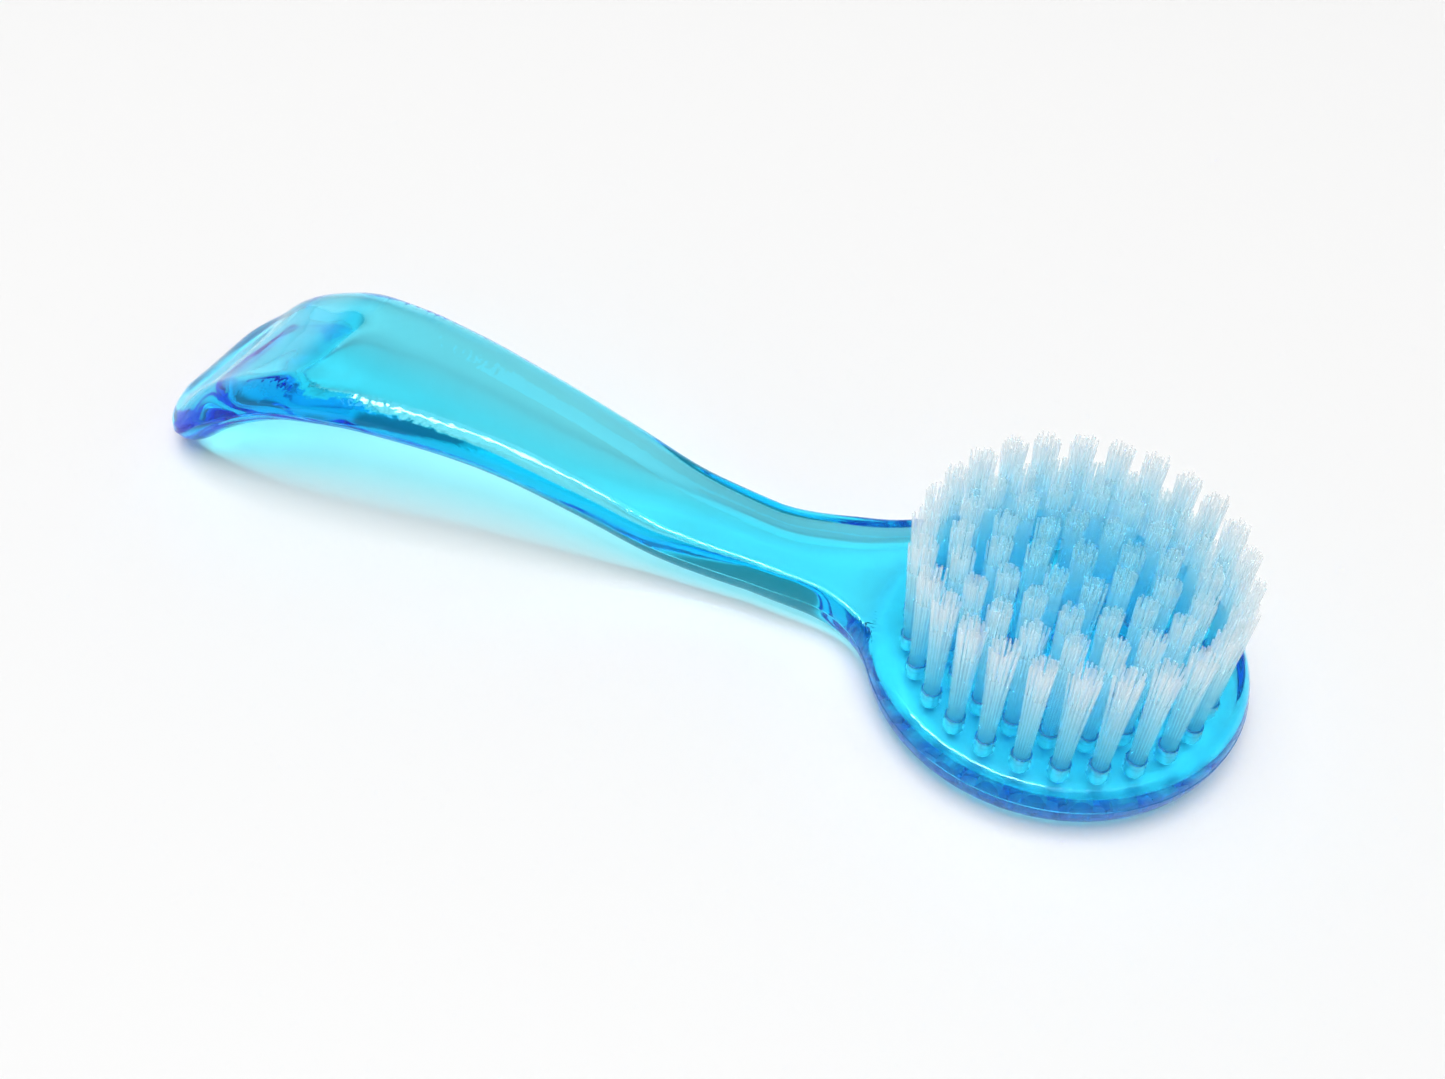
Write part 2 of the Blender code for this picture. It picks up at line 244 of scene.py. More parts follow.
def curve_at(rows, place):
    """Read the smooth curve through (place, value) rows."""
    slopes = curve_slopes(rows)
    place = min(max(place, rows[0][0]), rows[-1][0])
    index = 0
    while index < len(rows) - 2 and place > rows[index + 1][0]:
        index += 1
    (p0, v0), (p1, v1) = rows[index], rows[index + 1]
    span = p1 - p0
    t = (place - p0) / span
    return ((2 * t**3 - 3 * t**2 + 1) * v0 + (t**3 - 2 * t**2 + t) * span * slopes[index]
            + (3 * t**2 - 2 * t**3) * v1 + (t**3 - t**2) * span * slopes[index + 1])


def handle_place(share):
    """Distance from the head's middle to a share of the handle's length."""
    return HEAD_RADIUS + HANDLE_LENGTH * share


def handle_share(along):
    return (along - HEAD_RADIUS) / HANDLE_LENGTH


def arch_height(along):
    """Height of the moulding's middle surface as its rows give it."""
    share = handle_share(along)
    if share <= CREST_SHARE:
        return PARTING_HEIGHT + (CREST_HEIGHT - PARTING_HEIGHT) * curve_at(RISE_SHARES, share)
    return END_MID_HEIGHT + (CREST_HEIGHT - END_MID_HEIGHT) * curve_at(FALL_SHARES, share)


def smoothed(values, reach):
    """Samples averaged with their neighbours, near ones most, to even out the bends at the rows."""
    steps = round(reach / PROFILE_STEP)
    offsets = range(-steps, steps + 1)
    weights = [math.exp(-0.5 * (2.0 * k / steps) ** 2) for k in offsets]
    total = sum(weights)
    last = len(values) - 1
    evened = []
    for i in range(len(values)):
        near = [values[min(max(i + k, 0), last)] for k in offsets]
        evened.append(sum(weight * value for weight, value in zip(weights, near)) / total)
    return evened


def read_profile(samples, along):
    """Read evenly spaced samples between their places."""
    place = min(max(along / PROFILE_STEP, 0.0), len(samples) - 1.0)
    index = min(int(place), len(samples) - 2)
    return samples[index] + (samples[index + 1] - samples[index]) * (place - index)


PROFILE_PLACES = [PROFILE_STEP * i for i in range(int(handle_place(1.0) / PROFILE_STEP) + 2)]
ARCH = smoothed([arch_height(place) for place in PROFILE_PLACES], ARCH_REACH)
ARCH_SLOPES = smoothed([(b - a) / PROFILE_STEP for a, b in zip(ARCH, ARCH[1:])], NORMAL_REACH)


def mid_height(along):
    """Height of the moulding's middle surface, level in the head and arched in the handle."""
    return read_profile(ARCH, along)


def mid_normal(along):
    """Unit normal of the middle surface, as its parts along the handle and upward."""
    slope = read_profile(ARCH_SLOPES, along - 0.5 * PROFILE_STEP)
    length = math.hypot(1.0, slope)
    return -slope / length, 1.0 / length


def half_width(along, side):
    """Width from the middle to one side: the head's fillet, the waist, the paddle and its rounded end."""
    share = handle_share(along)
    if share < FILLET_END_SHARES[side]:
        leave = HEAD_RADIUS * FILLET_LEAVE_SHARES[side]
        edge = math.sqrt(HEAD_RADIUS**2 - leave**2)
        span = handle_place(FILLET_END_SHARES[side]) - leave
        t = (along - leave) / span
        flare = (1.0 + 2.0 * t) * (edge - NECK_HALF_WIDTH) - t * span * leave / edge
        return NECK_HALF_WIDTH + (1.0 - t) ** 2 * flare
    width = NECK_HALF_WIDTH + (PADDLE_HALF_WIDTH - NECK_HALF_WIDTH) * curve_at(WIDTH_SHARES, share)
    if share > END_ROUND_SHARE:
        place = min((share - END_ROUND_SHARE) / (1.0 - END_ROUND_SHARE), 1.0)
        width *= math.sqrt(max(1.0 - place**END_ROUND_POWER, 0.0))
    return width


def outline(side):
    """One side of the plan, from the head's far edge to the handle's end.

    Each row is (along, across, spine): the edge point and the place on the spine that its ray starts from.
    """
    start = HEAD_RADIUS * FILLET_LEAVE_SHARES[side]
    neck = handle_place(NECK_SHARE)
    round_start = handle_place(END_ROUND_SHARE)
    meeting = math.acos(start / HEAD_RADIUS)
    rows = []
    for i in range(ARC_STEPS):
        angle = math.pi - (math.pi - meeting) * i / ARC_STEPS
        rows.append((HEAD_RADIUS * math.cos(angle), side * HEAD_RADIUS * math.sin(angle), 0.0))
    places = []
    for i in range(FILLET_STEPS):
        share = i / FILLET_STEPS
        places.append((start + (neck - start) * share, neck * share))
    for i in range(SHAFT_STEPS):
        along = neck + (round_start - neck) * i / SHAFT_STEPS
        places.append((along, along))
    for i in range(END_STEPS + 1):
        share = math.sin(0.5 * math.pi * i / END_STEPS)
        ends = (handle_place(1.0), handle_place(END_SPINE_SHARE))
        places.append([round_start + (end - round_start) * share for end in ends])
    rows += [(along, side * half_width(along, side), spine) for along, spine in places]
    rows[0] = (rows[0][0], 0.0, rows[0][2])
    rows[-1] = (rows[-1][0], 0.0, rows[-1][2])
    return rows


def roll(inset, width):
    """Quarter of an ellipse: 0 at the edge, 1 once the inset reaches the roll's width."""
    t = min(max(inset / width, 0.0), 1.0)
    return math.sqrt(1.0 - (1.0 - t) ** 2)


def handle_edge_round(along):
    """How far in from the edge the handle's rounding reaches."""
    neck = handle_place(NECK_SHARE)
    crest = handle_place(CREST_SHARE)
    widened = NECK_EDGE_ROUND + (PADDLE_EDGE_ROUND - NECK_EDGE_ROUND) * ease(neck, crest, along)
    return widened + (END_EDGE_ROUND - widened) * ease(crest, handle_place(1.0), along)


def handle_half_thickness(along):
    low = handle_place(NECK_SHARE)
    high = handle_place(CREST_SHARE)
    return NECK_HALF_THICKNESS + (PADDLE_HALF_THICKNESS - NECK_HALF_THICKNESS) * ease(low, high, along)


def handle_depth(along, side):
    """Depth of the handle to one side of its middle surface. On top it starts level with the face."""
    full = handle_half_thickness(along)
    if side < 0:
        return full
    low, high = (handle_place(share) for share in ROOT_SHARES)
    level = HEAD_THICKNESS - mid_height(along)
    return level + (full - level) * ease(low, high, along)


def blended_deeper(first, second):
    """The deeper of two, with a small fillet where they cross."""
    nearness = max(BLEND_REACH - abs(first - second), 0.0) / BLEND_REACH
    return max(first, second) + 0.25 * nearness * nearness * BLEND_REACH


def surface_offset(along, across, inset, side):
    """Height of the top (side 1) or depth of the back (side -1) from the middle surface."""
    rim = HEAD_RADIUS - math.hypot(along, across)
    middle = mid_height(along)
    handle = handle_depth(along, side) * roll(inset, handle_edge_round(along))
    if side < 0:
        head = middle * roll(rim, BACK_EDGE_ROUND)
        if rim <= 0.0 or inset <= 0.0:
            return max(head, handle, 0.0)
        return max(min(blended_deeper(head, handle), middle), 0.0)
    head = (HEAD_THICKNESS - middle) * roll(rim, FACE_EDGE_ROUND)
    neck = handle_place(NECK_SHARE)
    if along > neck:
        flat = NECK_HALF_WIDTH + inset - NECK_EDGE_ROUND
        hollow = max(1.0 - (across / flat) ** 2, 0.0)
        handle -= TOP_DISH * hollow * ease(neck, handle_place(CREST_SHARE), along)
    return max(head, handle, 0.0)


def body_point(along, across, offset, side):
    """A point of the skin. The heights stand square to the arched middle surface."""
    lean, up = mid_normal(along)
    height = max(mid_height(along) + side * up * offset, 0.0)
    return -(along + side * lean * offset), across, height


def skin_row(edge, side, ridge):
    """The points of one side's skin from an edge point in to the spine, the parting ridge first."""
    along, across, spine = edge
    length = math.hypot(along - spine, across)
    weight = ease(HEAD_RADIUS * FILLET_LEAVE_SHARES[-1], handle_place(NECK_SHARE), along)
    head_round = FACE_EDGE_ROUND if side > 0 else BACK_EDGE_ROUND
    width = min(head_round + (handle_edge_round(along) - head_round) * weight, length)
    insets = [width * (1.0 - math.cos(0.5 * math.pi * k / EDGE_STEPS)) for k in range(EDGE_STEPS + 1)]
    insets += [width + (length - width) * k / INNER_STEPS for k in range(1, INNER_STEPS + 1)]
    points = [body_point(along, across, depth, side) for depth in (0.0, 0.5 * ridge)]
    for inset in insets:
        share = inset / length if length else 1.0
        offset = surface_offset(along + (spine - along) * share, across * (1.0 - share), inset, side)
        drawn_in = ridge * max(1.0 - inset / width, 0.0)
        share += min(drawn_in / length, 1.0 - share) if length else 0.0
        points.append(body_point(along + (spine - along) * share, across * (1.0 - share),
                                 max(offset, ridge), side))
    return points


def body_mesh(ridge):
    """The head and handle in one skin, laid in rays from the edge to a spine."""
    loop = outline(-1) + outline(1)[-2:0:-1]
    bm = bmesh.new()
    for side in (1, -1):
        rows = [[bm.verts.new(point) for point in skin_row(edge, side, ridge)] for edge in loop]
        for row, following in zip(rows, rows[1:] + rows[:1]):
            for k in range(len(row) - 1):
                corners = [row[k], row[k + 1], following[k + 1], following[k]]
                bm.faces.new(corners if side > 0 else corners[::-1])
    bmesh.ops.remove_doubles(bm, verts=bm.verts, dist=WELD_DISTANCE)
    for level, edge_round in ((0.0, BACK_EDGE_ROUND), (HEAD_THICKNESS, FACE_EDGE_ROUND)):
        reach = HEAD_RADIUS - edge_round - FLAT_MARGIN
        flat = [face for face in bm.faces
                if all(abs(v.co.z - level) < WELD_DISTANCE and math.hypot(v.co.x, v.co.y) < reach
                       for v in face.verts)]
        bmesh.ops.dissolve_faces(bm, faces=flat)
    bmesh.ops.recalc_face_normals(bm, faces=bm.faces)
    return bm


def ring_radius(index):
    return (HEAD_RADIUS - RIM_MARGIN) * (1.0 - RING_STEP_SHARE * index)


def ring_first_angle(index):
    """Where a ring's first tuft stands, counted from the handle's side."""
    return math.pi + 2.0 * math.pi / RING_COUNTS[index] * RING_TURN_SHARES[index]


def ring_places(index):
    """The middles of one ring's tufts."""
    places = []
    for k in range(RING_COUNTS[index]):
        angle = ring_first_angle(index) + 2.0 * math.pi * k / RING_COUNTS[index]
        radius = ring_radius(index)
        places.append((TUFT_FIELD_SHIFT + radius * math.cos(angle), radius * math.sin(angle)))
    return places


def tuft_places():
    places = [place for index in range(len(RING_COUNTS)) for place in ring_places(index)]
    return places + [(TUFT_FIELD_SHIFT, 0.0)]


def hole_cutter_mesh(radius, notch):
    """Drilled holes with a pointed bottom, nicked where the anchors' ends were driven past the mouths."""
    bm = bmesh.new()
    levels = (
        (HEAD_THICKNESS - HOLE_DEPTH + DRILL_POINT, 0.0),
        (HEAD_THICKNESS - MOUTH_CHAMFER, 0.0),
        (HEAD_THICKNESS + CUT_OVERRUN, MOUTH_CHAMFER + CUT_OVERRUN),
    )
    for x, y in tuft_places():
        loops = []
        for level, wider in levels:
            loop = []
            for i in range(HOLE_SIDES):
                angle = 2.0 * math.pi * i / HOLE_SIDES
                reach = radius + wider + (notch if i % (HOLE_SIDES // 2) == 0 else 0.0)
                loop.append(bm.verts.new((x + reach * math.cos(angle), y + reach * math.sin(angle), level)))
            loops.append(loop)
        point = bm.verts.new((x, y, HEAD_THICKNESS - HOLE_DEPTH))
        for i in range(HOLE_SIDES):
            j = (i + 1) % HOLE_SIDES
            bm.faces.new((point, loops[0][j], loops[0][i]))
            for low, high in zip(loops, loops[1:]):
                bm.faces.new((low[i], low[j], high[j], high[i]))
        bm.faces.new(loops[-1])
    bmesh.ops.recalc_face_normals(bm, faces=bm.faces)
    return bm


def linked(name, data):
    """Add an object for its data to the scene."""
    item = bpy.data.objects.new(name, data)
    bpy.context.scene.collection.objects.link(item)
    return item


def add_object(name, bm, material=None):
    """Write a bmesh to a named object that sits at the origin."""
    mesh = bpy.data.meshes.new(name)
    bm.normal_update()
    bm.to_mesh(mesh)
    bm.free()
    if material:
        mesh.materials.append(material)
    return linked(name, mesh)


def bake_modifiers(item):
    """Swap the object's mesh for the evaluated one and take its modifiers off."""
    graph = bpy.context.evaluated_depsgraph_get()
    mesh = bpy.data.meshes.new_from_object(item.evaluated_get(graph), depsgraph=graph)
    mesh.name = item.name
    item.modifiers.clear()
    old = item.data
    item.data = mesh
    bpy.data.meshes.remove(old)


class Number:
    """A number in a node tree. Sums of them are written as plain arithmetic."""

    def __init__(self, nodes, socket):
        self.nodes = nodes
        self.socket = socket

    def __add__(self, other):
        return self.nodes.calc("ADD", self, other)

    def __sub__(self, other):
        return self.nodes.calc("SUBTRACT", self, other)

    def __rsub__(self, other):
        return self.nodes.calc("SUBTRACT", other, self)

    def __mul__(self, other):
        return self.nodes.calc("MULTIPLY", self, other)

    def __truediv__(self, other):
        return self.nodes.calc("DIVIDE", self, other)

    def __rtruediv__(self, other):
        return self.nodes.calc("DIVIDE", other, self)

    def __neg__(self):
        return self * -1.0

    def __lt__(self, other):
        return self.nodes.calc("LESS_THAN", self, other)

    def __gt__(self, other):
        return self.nodes.calc("GREATER_THAN", self, other)

    __radd__ = __add__
    __rmul__ = __mul__


class NodeTree:
    """Short calls for building one node tree."""

    def __init__(self, tree):
        self.tree = tree

    def feed(self, socket, value):
        """Set a socket, or link it to a Number, another socket or a node's first output."""
        if isinstance(value, Number):
            value = value.socket
        elif isinstance(value, bpy.types.Node):
            value = value.outputs[0]
        if isinstance(value, bpy.types.NodeSocket):
            self.tree.links.new(value, socket)
        else:
            socket.default_value = value

    def node(self, kind, inputs=(), **settings):
        """Add a node, set its choices and feed its inputs by name or index."""
        made = self.tree.nodes.new(kind)
        for key, value in settings.items():
            setattr(made, key, value)
        for key, value in dict(inputs).items():
            self.feed(made.inputs[key], value)
        return made

    def number(self, kind, inputs=(), output=0, **settings):
        """Add a node and take one of its outputs as a Number."""
        return Number(self, self.node(kind, inputs, **settings).outputs[output])

    def calc(self, operation, *values):
        """A Math node on its values."""
        return self.number("ShaderNodeMath", enumerate(values), operation=operation)

    def point(self, x=0.0, y=0.0, z=0.0):
        return self.node("ShaderNodeCombineXYZ", {"X": x, "Y": y, "Z": z})

    def parts(self, vector):
        """The three numbers of a vector."""
        return [Number(self, part) for part in self.node("ShaderNodeSeparateXYZ", {"Vector": vector}).outputs]

    def mapped(self, value, source, target=(0.0, 1.0), **settings):
        """Carry a value over from one range to another, and hold it there."""
        limits = zip(("From Min", "From Max", "To Min", "To Max"), source + target)
        return self.number("ShaderNodeMapRange", {"Value": value, **dict(limits)}, "Result", **settings)


class Paint(NodeTree):
    """Short calls for building one material round its Principled shader."""

    def __init__(self, name):
        self.material = bpy.data.materials.new(name)
        self.material.use_nodes = True
        super().__init__(self.material.node_tree)

    def look(self, inputs):
        """Feed the shader's inputs by name, and return the material."""
        for name, value in inputs.items():
            self.feed(self.tree.nodes["Principled BSDF"].inputs[name], value)
        return self.material

    def place(self):
        """The object's own coordinates."""
        return self.node("ShaderNodeTexCoord").outputs["Object"]

    def noise(self, scale, stretch=(1.0, 1.0, 1.0), detail=2.0):
        """Noise on the object's own coordinates, in waves for each metre."""
        place = self.node("ShaderNodeMapping", {"Vector": self.place(), "Scale": stretch})
        return self.number("ShaderNodeTexNoise", {"Vector": place, "Scale": scale, "Detail": detail}, "Fac")

    def spread(self, value, low, high):
        """Map a noise value onto a range."""
        return self.mapped(value, NOISE_RANGE, (low, high))

    def mixed(self, share, first, second):
        """Mix two colours, by the second one's share."""
        made = self.node("ShaderNodeMix", {"Factor": share, "A": first, "B": second}, data_type="RGBA")
        return made.outputs["Result"]

    def reach(self, x, y):
        """Distance sideways from the middle of the tuft field."""
        across = self.point(x - TUFT_FIELD_SHIFT, y)
        return self.number("ShaderNodeVectorMath", {0: across}, "Value", operation="LENGTH")


def solid(colour):
    """A colour with its full alpha."""
    return (*colour, 1.0)


def drilled_shares(paint):
    """Where the surface is a drilled wall under the face, and how near it is to its mouth."""
    x, y, z = paint.parts(paint.place())
    under_face = z < HEAD_THICKNESS - 0.5 * MOUTH_CHAMFER
    in_depth = z > HEAD_THICKNESS - HOLE_DEPTH - MOUTH_CHAMFER
    wall = under_face * in_depth * (paint.reach(x, y) < FIELD_REACH)
    near = paint.mapped(z, (HEAD_THICKNESS - FROST_DEPTH, HEAD_THICKNESS - 2.0 * MOUTH_CHAMFER))
    return wall, near * wall


def shoulder_share(paint):
    """Where the skin turns over the near shoulder: 0 on the level faces and sides, 1 between them."""
    normal = paint.node("ShaderNodeNewGeometry").outputs["Normal"]
    facing = paint.number("ShaderNodeVectorMath", {0: normal, 1: SHOULDER_WAY}, "Value",
                          operation="DOT_PRODUCT")
    return paint.mapped(facing, SHOULDER_LIMITS)


def moulded_skin(paint, sizes):
    """Normal of the skin: wide faint waves all over and fine ripples along the near shoulder."""
    waves = paint.noise(1.0 / sizes.wave_length, detail=1.0)
    wide = paint.node("ShaderNodeBump", {"Distance": sizes.wave_depth, "Height": waves})
    ripples = paint.noise(1.0 / sizes.ripple_length, detail=1.0) * shoulder_share(paint)
    return paint.node("ShaderNodeBump", {"Distance": sizes.ripple_depth, "Height": ripples, "Normal": wide})


def clear_plastic(sizes):
    """Clear cyan plastic, coloured by how far light travels in it, with frosted drilled walls that are
    painted darker deeper down, as painted shade in the holes.
    """
    paint = Paint("clear_cyan_plastic")
    tint = {"Color": solid(sizes.tint), "Density": sizes.tint_density}
    absorb = paint.node("ShaderNodeVolumeAbsorption", tint)
    paint.feed(paint.tree.nodes["Material Output"].inputs["Volume"], absorb)
    wall, drilled = drilled_shares(paint)
    low, high = (share * sizes.gloss for share in HAZE_SPREAD)
    smooth = paint.spread(paint.noise(HAZE_SCALE), low, high)
    scratch = paint.spread(paint.noise(SCRATCH_SCALE, SCRATCH_STRETCH), SCRATCH_LEAST, 1.0)
    # Frost near the mouths; deeper down the walls are painted darker as painted shade
    frost_and_painted_shade = paint.mixed(drilled, solid(DEEP_WALL_PAINTED_SHADE), solid(FROST_COLOUR))
    return paint.look({
        "Base Color": paint.mixed(wall, solid(WHITE), frost_and_painted_shade),
        "Roughness": paint.calc("MAXIMUM", smooth, wall * WALL_ROUGHNESS),
        "Transmission Weight": 1.0 - drilled * scratch * sizes.frost,
        "IOR": PLASTIC_IOR,
        "Specular IOR Level": PLASTIC_SPECULAR,
        "Specular Tint": solid(REFLECTION_TINT),
        "Normal": moulded_skin(paint, sizes),
    })


def drilled_lip():
    """The plastic that the drill raised, with torn, uneven roughness; its dark colour and lower clearness are
    painted shade round the mouths.
    """
    paint = Paint("drilled_lip_plastic")
    return paint.look({
        # Painted shade: dark colour and lower clearness for the dark ring round each mouth
        "Base Color": solid(LIP_PAINTED_SHADE),
        "Roughness": paint.spread(paint.noise(TORN_SCALE), *LIP_ROUGHNESS),
        "Transmission Weight": LIP_CLEARNESS,
        "IOR": PLASTIC_IOR,
    })


def white_nylon(sizes):
    """Milky nylon, drawn into filaments: fine streaks, a soft sheen, and tips that are a little cloudier.

    Their feet, most of all in the middle of the field, are painted cyan: painted light for the head's cyan
    light that climbs them.
    """
    paint = Paint("white_nylon")
    x, y, z = paint.parts(paint.place())
    # Painted light: the share of painted cyan glow falls off with height above the face and with reach from
    # the field's middle
    risen = paint.mapped(z, (HEAD_THICKNESS, HEAD_THICKNESS + PAINTED_GLOW_HEIGHT), (FOOT_WHITE_SHARE, 1.0))
    outer = ring_radius(0)
    outward = paint.mapped(paint.reach(x, y), (MIDDLE_REACH_SHARE * outer, outer), (MIDDLE_WHITE_SHARE, 1.0))
    cloud = paint.mapped(z, TIP_CLOUD_HEIGHTS)
    streak = paint.noise(STREAK_SCALE, STREAK_STRETCH)
    white = (risen * outward + cloud * TIP_WHITENING) * paint.spread(streak, STREAK_LEAST, 1.0)
    return paint.look({
        "Base Color": paint.mixed(white, solid(sizes.painted_glow), solid(sizes.colour)),
        "Roughness": paint.spread(streak, *NYLON_ROUGHNESS),
        "Alpha": cloud * sizes.tip_cloud + (1.0 - sizes.clearness),
        "IOR": NYLON_IOR,
    })


def anchor_metal():
    """Bright drawn wire, with fine lines along its length."""
    paint = Paint("bright_anchor_wire")
    return paint.look({
        "Base Color": solid(WIRE_COLOUR),
        "Metallic": 1.0,
        "Roughness": paint.spread(paint.noise(WIRE_LINE_SCALE, WIRE_STRETCH), *WIRE_ROUGHNESS),
    })


def floor_material(colour):
    """A smooth pale table that takes the brush's shadow and the light it tints."""
    return Paint("pale_table").look({
        "Base Color": solid(colour), "Roughness": TABLE_ROUGHNESS, "Specular IOR Level": TABLE_SPECULAR,
    })


class Wiring(NodeTree):
    """Short calls for building one Geometry Nodes tree."""

    def __init__(self, name):
        super().__init__(bpy.data.node_groups.new(name, "GeometryNodeTree"))
        self.tree.interface.new_socket("Geometry", in_out="OUTPUT", socket_type="NodeSocketGeometry")
        self.exit = self.tree.nodes.new("NodeGroupOutput")

    def node(self, kind, inputs=(), **settings):
        """Add a node. Geometry nodes are named without their prefix."""
        if not kind.startswith(("Shader", "Function")):
            kind = "GeometryNode" + kind
        return super().node(kind, inputs, **settings)

    def sizes(self, names):
        """Add the tree's inputs and return them by name."""
        for name in names:
            kind = "NodeSocket" + INPUT_KINDS.get(name, "Float")
            self.tree.interface.new_socket(name, in_out="INPUT", socket_type=kind)
        entry = self.tree.nodes.new("NodeGroupInput")
        return {name: Number(self, entry.outputs[name]) for name in names}

    def vectors(self, operation, first, second):
        return self.node("ShaderNodeVectorMath", {0: first, 1: second}, operation=operation)

    def clamp(self, value, low=0.0, high=1.0):
        return self.number("ShaderNodeClamp", {"Value": value, "Min": low, "Max": high})

    def stored(self, geometry, name, value, data_type="FLOAT"):
        """Keep a value on the points under a name."""
        return self.node("StoreNamedAttribute", {"Geometry": geometry, "Name": name, "Value": value},
                         data_type=data_type, domain="POINT")

    def kept(self, name, data_type="FLOAT"):
        """A value that was kept on the points."""
        return self.number("InputNamedAttribute", {"Name": name}, data_type=data_type)

    def chance(self, low, high, identity, seed):
        """A random number for each identity, from a fixed seed."""
        inputs = {2: low, 3: high, "ID": identity, "Seed": seed}
        return self.number("FunctionNodeRandomValue", inputs, 1, data_type="FLOAT")

    def joined(self, geometries):
        made = self.node("JoinGeometry")
        for geometry in geometries:
            self.feed(made.inputs[0], geometry)
        return made

    def spots(self, points, instance):
        """Instances on points, made real."""
        placed = self.node("InstanceOnPoints", {"Points": points, "Instance": instance})
        return self.node("RealizeInstances", {"Geometry": placed})

    def done(self, geometry, material):
        """End the tree in its material."""
        smooth = self.node("SetShadeSmooth", {"Geometry": geometry})
        self.feed(self.exit.inputs[0], self.node("SetMaterial", {"Geometry": smooth, "Material": material}))
        return self.tree


# Inputs of the trees, and the kinds of those that are not plain numbers
RING_INPUTS = ("Tuft Count", "Ring Radius", "First Angle", "Field Shift", "Seed", "Material")
FILAMENT_INPUTS = (
    "Bundle Radius", "Filament Radius", "Flare", "Fold Height", "Mouth Height", "Tip Height", "Raggedness",
    "Bend", "Stray Share",
)
LIP_INPUTS = ("Mouth Radius", "Lip Radius", "Mouth Height")
ANCHOR_INPUTS = ("Anchor Length", "Anchor Thickness", "Anchor Depth", "Fold Height")
INPUT_KINDS = {"Tuft Count": "Int", "Seed": "Int", "Material": "Material"}


def ring_points(wiring, size):
    """Points in a ring, each with its number kept as tuft."""
    index = wiring.node("InputIndex")
    angle = size["First Angle"] + 2.0 * math.pi / size["Tuft Count"] * index
    x = wiring.calc("COSINE", angle) * size["Ring Radius"] + size["Field Shift"]
    y = wiring.calc("SINE", angle) * size["Ring Radius"]
    points = wiring.node("Points", {"Count": size["Tuft Count"], "Position": wiring.point(x, y)})
    return wiring.stored(points, "tuft", index)


def bundle_points(wiring, size):
    """Where one half of a folded bundle stands in its hole, in half rings clear of the anchor."""
    rows = []
    for count, share, start in ARC_ROWS:
        arc = wiring.node("CurveArc", {
            "Resolution": count, "Radius": size["Bundle Radius"] * share, "Start Angle": start,
            "Sweep Angle": math.pi - 2.0 * start,
        }, mode="RADIUS")
        rows.append(wiring.node("CurveToPoints", {"Curve": arc}, mode="EVALUATED"))
    return wiring.stored(wiring.joined(rows), "root", wiring.node("InputPosition"), "FLOAT_VECTOR")


def filament_tree():
    """A ring of tufts: each filament is a tube bent under its anchor, whose legs flare and stray."""
    wiring = Wiring("tuft_ring")
    size = wiring.sizes(RING_INPUTS + FILAMENT_INPUTS)
    place = wiring.node("InputPosition")
    bundles = wiring.spots(ring_points(wiring, size), bundle_points(wiring, size))
    middle = wiring.vectors("SUBTRACT", place, wiring.kept("root", "FLOAT_VECTOR"))
    bundles = wiring.stored(bundles, "place", middle, "FLOAT_VECTOR")
    bundles = wiring.stored(bundles, "filament", wiring.node("InputIndex"))
    tube = wiring.node("MeshCylinder", {
        "Vertices": TUBE_SIDES, "Side Segments": TUBE_SEGMENTS, "Radius": 1.0, "Depth": float(TUBE_SEGMENTS),
    }, fill_type="NGON")
    tubes = wiring.spots(bundles, wiring.stored(tube, "section", place, "FLOAT_VECTOR"))
    moved = wiring.node("SetPosition", {"Geometry": tubes, "Position": filament_place(wiring, size)})
    return wiring.done(moved, size["Material"])


def filament_place(wiring, size):
    """Where a tube's point goes, from its ring in the tube and its filament's root."""
    section = wiring.parts(wiring.kept("section", "FLOAT_VECTOR"))
    root = wiring.parts(wiring.kept("root", "FLOAT_VECTOR"))
    angle = 0.5 * math.pi * (1.0 - wiring.clamp(section[2] / FOLD_RING, -1.0, 1.0))
    beside = wiring.calc("COSINE", angle)
    below = wiring.calc("SINE", angle)
    leg = wiring.kept("filament") * 2.0 + (section[2] > 0.0)
    # How far the ring has come along each stretch: to the mouth, midway, to the tip and into its dome
    ring = wiring.calc("ABSOLUTE", section[2])
    stretches = [wiring.clamp(ring - (FOLD_RING + k)) for k in range(4)]

    x, y = leg_sideways(wiring, size, (root[0], root[1] * beside), leg, stretches)
    z = leg_height(wiring, size, root[1] * below, leg, stretches)
    thickness = size["Filament Radius"] * (1.0 - stretches[3] * TIP_NARROWING)
    outward = section[1] * thickness
    ring_place = wiring.point(section[0] * thickness, outward * beside, -(outward * below))
    middle = wiring.vectors("ADD", wiring.kept("place", "FLOAT_VECTOR"), wiring.point(x, y, z))
    return wiring.vectors("ADD", middle, ring_place)


def leg_sideways(wiring, size, starts, leg, stretches):
    """A leg's place across its tuft: out with the flare, and off by its own bend and its tuft's lean."""
    tuft = wiring.kept("tuft")
    chances = [wiring.chance(-1.0, 1.0, leg, size["Seed"] + k) for k in range(3)]
    leans = [wiring.chance(-1.0, 1.0, tuft, size["Seed"] + (LEAN_SEED + k)) for k in range(3)]
    stray = wiring.chance(0.0, 1.0, leg, size["Seed"]) < size["Stray Share"]
    flare = chances[0] * FLARE_SPREAD + (leans[2] * FLARE_LEAN + 1.0) + stray * STRAY_FLARE
    reach = stretches[2] * (1.0 - MIDWAY_REACH_SHARE) + stretches[1] * MIDWAY_REACH_SHARE
    grow = size["Flare"] * flare * reach + 1.0
    bend = size["Bend"] * reach
    return [(chance + lean) * bend + start * grow for start, chance, lean in zip(starts, chances[1:], leans)]


